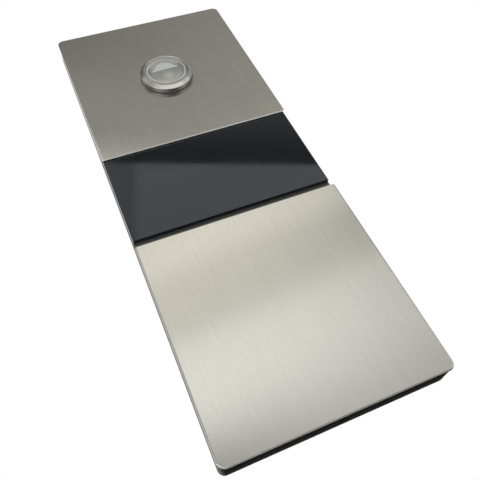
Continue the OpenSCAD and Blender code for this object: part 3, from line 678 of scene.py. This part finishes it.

# Legend and arrow: a satin grey disc behind the lens with the up arrow let into it, a white
# moulding that the lamps shine through. Both sit in the diffuser's cup. The disc's colour holds
# painted light: a glow in rings round a point below its middle, and paler parts near its rim at top
# and bottom.
# Where the painted glow is centred, how large it is and how wide its rings are, and where the painted light
# at the rim falls.
lamp_shift = 0.4 * mm
lamp_drop = 4 * mm
glow_core = 1 * mm
glow_edge = 5.5 * mm
glow_ring_w = 0.9 * mm
legend_edge = 11 * mm
ends_from = 2 * mm
ends_full = 7 * mm
legend_paint, legend_shader, legend_place = start_finish("legend_paint", {"IOR": 1.5})
flakes = grain(legend_place, [0.12 * mm] * 3, detail=1.0)
legend_cloud = grain(legend_place, [3 * mm] * 3)
# Painted light: a glow round a point below the middle, in rings, painted into the disc's colour.
from_lamp = off_axis(legend_place, lamp_shift, axis_z - lamp_drop)
painted_glow = 1 - step(from_lamp, glow_core, glow_edge)
painted_glow_rings = ringed(from_lamp, glow_ring_w)
# Painted light near the disc's rim, at its top and bottom.
rim_light = step(off_axis(legend_place), 0.5 * legend_edge, 0.9 * legend_edge)
ends = step(abs(along(legend_place, up) - axis_z), ends_from, ends_full)
pale = 0.1 * flakes + 0.2 * legend_cloud + painted_glow * (0.25 + 0.6 * painted_glow_rings) + 0.7 * rim_light * ends
feed(legend_shader, "Base Color", between(pale, (0.245, 0.253, 0.235, 1), (0.74, 0.73, 0.69, 1)))
feed(legend_shader, "Roughness", 0.34 + 0.14 * flakes)
dress(legend_paint, "legend_disc")
arrow_plastic = moulded(
    "arrow_plastic", (0.8, 0.82, 0.815), roughness=0.35, texture=0.2 * mm, depth=0.01 * mm, tint=0.06)
dress(arrow_plastic, "arrow_symbol")

# Light diffuser: an opal white moulding. Its rim shows as a pale ring round the legend, and the
# stem behind it presses the switch.
opal = moulded(
    "opal_plastic", (0.78, 0.79, 0.77), roughness=0.4, texture=0.25 * mm, depth=0.01 * mm, tint=0.05)
dress(opal, "light_diffuser")

# Return spring: a coil of bright spring wire between the button's base and the diffuser. It
# shortens by the cap's travel.
spring_low, spring_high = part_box("return_spring")
wire = 0.7 * mm
wire_sides = 16
turns = 4.5
steps_a_turn = 40
coil_r = (spring_high.x - spring_low.x - wire) / 2
coil_l = spring_high.y - spring_low.y
coil_steps = int(turns * steps_a_turn)
bpy.ops.mesh.primitive_circle_add(
    vertices=wire_sides, radius=wire / 2, location=(coil_r, spring_high.y - wire / 2, 0))
spring = named("return_coil")
modify(spring, "SCREW", {
    "axis": "Y", "angle": 2 * math.pi * turns, "screw_offset": wire - coil_l, "steps": coil_steps,
    "render_steps": coil_steps})
bpy.ops.object.mode_set(mode="EDIT")
bpy.ops.mesh.select_all(action="SELECT")
bpy.ops.mesh.fill_holes(sides=0)
bpy.ops.mesh.select_all(action="SELECT")
bpy.ops.mesh.normals_make_consistent(inside=False)
bpy.ops.transform.translate(value=(0, 0, axis_z))
bpy.ops.object.mode_set(mode="OBJECT")
bpy.ops.object.shade_smooth_by_angle(angle=math.radians(40))
spring_wire = plated_metal(
    "spring_wire", dark=(0.4, 0.4, 0.4, 1), light=(0.6, 0.6, 0.59, 1), roughness=0.28, spangle=0.6 * mm)
settle(spring, spring_wire, "panel", "return_spring")
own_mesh(spring)

# Button's inner pieces: the nylon base on the collar's end, its board with four lamps and the
# switch, and the header for the flat cable. Two small screws hold the board to the base.
nylon = moulded("black_nylon", (0.025, 0.025, 0.027), roughness=0.5, texture=0.3 * mm, depth=0.02 * mm)
dress(nylon, "button_base")
switch_case = moulded("switch_case", (0.03, 0.03, 0.033), roughness=0.4, texture=0.2 * mm, depth=0.01 * mm)
dress(switch_case, "button_switch")
red_plunger = moulded(
    "plunger_plastic", (0.5, 0.05, 0.035), roughness=0.35, texture=0.2 * mm, depth=0.01 * mm)
dress(red_plunger, "switch_plunger")
lamp = moulded("lamp_package", (0.78, 0.75, 0.5), roughness=0.3, texture=0.2 * mm, depth=0.005 * mm)
dress(lamp, "call_leds")
ivory = moulded("header_plastic", (0.7, 0.66, 0.54), roughness=0.42, texture=0.25 * mm, depth=0.01 * mm)
dress(ivory, "button_header")
dress(zinc_plate, "button_board_screws")
track_l = 3.2 * mm
track_w = 1.3 * mm
track_depth = 0.03 * mm


def circuit_board(name):
    """Green solder mask over copper tracks that run along and across the board."""
    finish, shader, place = start_finish(name, {"IOR": 1.5})
    laid_flat = place.node("ShaderNodeMapping", None, {"Vector": place, "Rotation": quarter_turn})
    tracks = place.node("ShaderNodeTexBrick", {"offset": 0.5}, {
        "Vector": stretched(laid_flat, [track_l, track_w, 1]), "Scale": 1.0, "Mortar Size": 0.03,
        "Mortar Smooth": 0.3, "Brick Width": 1.0, "Row Height": 1.0}, output="Fac")
    weave = grain(place, [0.4 * mm] * 3)
    feed(shader, "Base Color", between(tracks, (0.008, 0.075, 0.03, 1), (0.03, 0.17, 0.06, 1)))
    feed(shader, "Roughness", 0.26 + 0.1 * weave)
    feed(shader, "Normal", relief(tracks + 0.2 * weave, 0.3, track_depth))
    return finish


board_mask = circuit_board("solder_mask")
dress(board_mask, "button_board")

# Main board: the larger board, screwed to pads behind the deck. The field connector, a header, two
# controller chips, three canned capacitors and the buzzer are soldered to its side that faces the wall.
dress(board_mask, "main_board")
dress(zinc_plate, "main_board_screws")
dress(ivory, "main_header")
connector = moulded(
    "connector_plastic", (0.03, 0.26, 0.12), roughness=0.4, texture=0.25 * mm, depth=0.01 * mm)
dress(connector, "field_connector")
chip_resin = moulded(
    "chip_resin", (0.022, 0.022, 0.024), roughness=0.55, texture=0.15 * mm, depth=0.01 * mm)
dress(chip_resin, "controller_chips", "buzzer")
can_metal = plated_metal(
    "can_aluminium", dark=(0.5, 0.51, 0.52, 1), light=(0.72, 0.72, 0.72, 1), roughness=0.32,
    spangle=1 * mm)
dress(can_metal, "board_capacitors")

# Flat cable: ten grey conductors side by side in one ribbon. It runs from the header on the button's
# board down to the header on the main board.
core = 1 * mm
core_depth = 0.2 * mm
# Blender's wave texture turns 20 radians in a unit.
wave_rate = 20
ribbon, ribbon_shader, ribbon_place = start_finish("flat_cable", {"IOR": 1.48})
cores = ribbon_place.node("ShaderNodeTexWave", {"bands_direction": "X"}, {
    "Vector": ribbon_place, "Scale": 2 * math.pi / (wave_rate * core), "Distortion": 0.0}, output="Fac")
feed(ribbon_shader, "Base Color", between(cores, (0.2, 0.2, 0.205, 1), (0.42, 0.42, 0.43, 1)))
feed(ribbon_shader, "Roughness", 0.4 + 0.1 * cores)
feed(ribbon_shader, "Normal", relief(cores, 0.6, core_depth))
dress(ribbon, "ribbon_harness")

# Floor: a plain pale disc below the panel, painted and faintly mottled. It fades out into the white
# round it.
floor_z = -0.4
floor_r = 0.9
floor_sides = 96
mottle_size = 0.2
bpy.ops.mesh.primitive_circle_add(
    vertices=floor_sides, radius=floor_r, fill_type="NGON", location=(0, 0, floor_z))
floor = named("studio_floor")
floor_paint, floor_shader, floor_place = start_finish("floor_paint", {"Roughness": 0.8})
mottle = grain(floor_place, [mottle_size] * 3)
feed(floor_shader, "Base Color", between(mottle, (0.8, 0.8, 0.79, 1), (0.84, 0.84, 0.83, 1)))
away = from_centre(floor_place, (0, 0, 0), (1, 1, 1))
feed(floor_shader, "Alpha", 1 - step(away, 0.5 * floor_r, floor_r))
floor.data.materials.append(floor_paint)

# Grey card: the largest of the cards about the panel, which only mirrors see. It hangs over the front
# and slopes up towards the wall, dark along its lower edge and above that darker on the left.
card_edge = Vector((0.25, -0.735, 0.62)).normalized()
card_rise = Vector((0.274, 0.684, 0.67)).normalized()
card_run = card_rise.cross(card_edge)
card_away = 2.0
card_w = 8.0
card_l = 6.0
card_tint = (1, 0.985, 0.945)
white = (1, 1, 1)
rightward = (1, 0, 0)
warm_green = 0.008
warm_blue = 0.065


def hung_card(name, centre, size, turn=(0, 0, 0)):
    """A card that only mirrors see. Returns its shader and the place that its paint is drawn by."""
    bpy.ops.mesh.primitive_plane_add(size=1, location=centre, rotation=turn)
    bpy.context.object.scale = (*size, 1)
    card = named(name)
    card.visible_camera = False
    card.visible_diffuse = False
    card.visible_transmission = False
    card.visible_shadow = False
    paint, shader, place = start_finish(name, {
        "Base Color": (0, 0, 0, 1), "Roughness": 1.0, "Specular IOR Level": 0.0, "Emission Strength": 1.0})
    card.data.materials.append(paint)
    return shader, place


def shaded(distance, stops, tint=white):
    """Paint whose lightness follows (distance, level) stops."""
    first, last = stops[0][0], stops[-1][0]
    share = distance.node("ShaderNodeMapRange", None, {
        "Value": distance, "From Min": first, "From Max": last})
    return share.node("ShaderNodeValToRGB", {"stops": [
        ((far - first) / (last - first), [level * part for part in tint] + [1]) for far, level in stops]},
        {"Fac": share})


def darkened(colour, share, warmth=0.0):
    """A colour times a share, and yellower where it is warm."""
    grey = share.node("ShaderNodeCombineColor", None, {
        "Red": share, "Green": share * (1 - warm_green * warmth), "Blue": share * (1 - warm_blue * warmth)})
    return share.node("ShaderNodeMix", {"data_type": "RGBA", "blend_type": "MULTIPLY"}, {
        "Factor": 1.0, mix_low: colour, mix_high: grey}, output=mix_colour)


grey_card, grey_place = hung_card(
    "grey_card", card_away * card_edge + card_rise * (card_l / 2), (card_w, card_l),
    Matrix((card_run, card_rise, card_run.cross(card_rise))).transposed().to_euler())
grey_up = along(grey_place, card_rise)
above_edge = step(grey_up, 0.2, 0.45)
leftward = 0.5 - 0.75 * step(along(grey_place, rightward), -0.5, 1.3)
feed(grey_card, "Emission Color", darkened(shaded(grey_up, [
    (0, 0.15), (0.05, 0.2), (0.1, 0.275), (0.15, 0.345), (0.2, 0.33), (0.25, 0.305), (0.33, 0.285),
    (0.5, 0.3), (0.7, 0.25), (2, 0.27)], card_tint), 1 - above_edge * leftward))

# Front wall: a white card beyond the camera, grey at its foot and with a grey band across it about a
# metre above the panel's middle. It is darker at its lower right, lower left and upper left, and
# warmer from the band up.
wall_y = -2.0
wall_x = (-2.2, 2.6)
off_floor = 0.01
wall_z = (floor_z + off_floor, 1.9)
wall_slant = (-0.08, 0, 1)
patch_slant = (1, 0, -0.31)


def halfway(span):
    """The middle between two ends."""
    return sum(span) / 2


def extent(span):
    """The distance between two ends."""
    return span[1] - span[0]


front_wall, front_place = hung_card(
    "front_wall", (halfway(wall_x), wall_y, halfway(wall_z)), (extent(wall_x), extent(wall_z)),
    quarter_turn)
wall_up = along(front_place, wall_slant)
wall_right = along(front_place, rightward)
lower_right = step(wall_right, 0.72, 1.36) * (1 - step(wall_up, 1.06, 1.2))
lower_left = (1 - step(wall_right, -0.1, 0.58)) * (1 - step(wall_up, 0.2, 0.5))
upper_left = (1 - step(along(front_place, patch_slant), -0.36, -0.29)) * step(wall_up, 1.2, 1.4)
feed(front_wall, "Emission Color", darkened(shaded(wall_up, [
    (wall_z[0], 0.3), (-0.14, 0.34), (0, 0.68), (0.15, 0.71), (0.36, 0.92), (0.54, 1), (0.75, 1),
    (0.81, 0.75), (1.11, 0.75), (1.17, 0.98), (wall_z[1], 1)]),
    1 - 0.46 * lower_right - 0.82 * lower_left - 0.3 * upper_left, step(wall_up, 0.7, 0.85)))

# Left card: stands upright on the floor at the panel's left, white at its foot and grey from the
# height of the panel's middle up.
left_x = -1.0
left_y = (-1.7, 0.4)
left_z = (floor_z, 1.0)
left_card, left_place = hung_card(
    "left_card", (left_x, halfway(left_y), halfway(left_z)), (extent(left_z), extent(left_y)),
    (0, math.pi / 2, 0))
feed(left_card, "Emission Color", shaded(along(left_place, up), [
    (left_z[0], 1), (-0.12, 1), (0, 0.4), (left_z[1], 0.4)]))

# Floor shade: a card that lies on the floor in front of the panel, with an oval patch on it that is
# nearly black and fades outwards.
shade_centre = Vector((0.12, -0.31, floor_z + off_floor))
shade_x = 0.55
shade_y = 0.31
floor_shade, shade_place = hung_card("floor_shade", shade_centre, (2 * shade_x, 2 * shade_y))
feed(floor_shade, "Emission Color", shaded(
    from_centre(shade_place, shade_centre, (1 / shade_x, 1 / shade_y, 0)), [
        (0, 0.06), (0.42, 0.08), (0.8, 0.6), (1, 0.75)]))

# Dark wall: a nearly black strip just behind the wall's face, from the panel's lower edge down. The
# panel's underside mirrors it.
below = 0.3
wall_clearance = 1 * mm
panel_low, panel_high = (Vector(corner) for corner in cad_box)
back_z = (panel_low.z - below, panel_low.z)
back_card, back_place = hung_card(
    "dark_wall", (0, panel_high.y + wall_clearance, halfway(back_z)), (2 * below, below), quarter_turn)
feed(back_card, "Emission Color", shaded(along(back_place, up), [(back_z[0], 0.02), (back_z[1], 0.03)]))

# Light: white all round, a little dimmer as a source of light than as the camera, mirrors and clear
# pieces see it, and one large soft lamp from the upper left that doesn't show in mirrors.
dim_white = 0.8
lamp_place = Vector((-0.8, -0.9, 1.1))
lamp_size = 1.6
lamp_power = 10
world = bpy.data.worlds.new("studio_white")
bpy.context.scene.world = world
world.use_nodes = True
rays = world.node_tree.nodes.new("ShaderNodeLightPath").outputs
seen = Tone(rays["Is Camera Ray"]) + Tone(rays["Is Glossy Ray"]) + Tone(rays["Is Transmission Ray"])
background = world.node_tree.nodes["Background"]
background.inputs["Color"].default_value = (*white, 1)
feed(background, "Strength", dim_white + (1 - dim_white) * seen.at_most(1.0))
bpy.ops.object.light_add(type="AREA", location=lamp_place)
key = bpy.context.object
key.name = "soft_lamp"
key.rotation_euler = (-lamp_place).to_track_quat("-Z", "Y").to_euler()
key.data.size = lamp_size
key.data.energy = lamp_power
key.visible_glossy = False

# Camera: the photograph's place, low on the left and looking up the panel, rolled to the right, with
# the lens that gives the photograph's frame.
camera_place = Vector((-69.49, -230.38, -178.82)) * mm
camera_aim = Vector((-5.81, -14.2, -44.7)) * mm
camera_roll = math.radians(27.055)
camera_lens = 40.805
camera_sensor = 36
camera_near = 5 * mm
bpy.ops.object.camera_add(location=camera_place)
camera = bpy.context.object
camera.rotation_mode = "QUATERNION"
camera.rotation_quaternion = (
    (camera_aim - camera_place).to_track_quat("-Z", "Y") @ Quaternion((0, 0, 1), -camera_roll))
camera.data.lens = camera_lens
camera.data.sensor_width = camera_sensor
camera.data.clip_start = camera_near
bpy.context.scene.camera = camera
bpy.context.scene.view_settings.view_transform = "Standard"
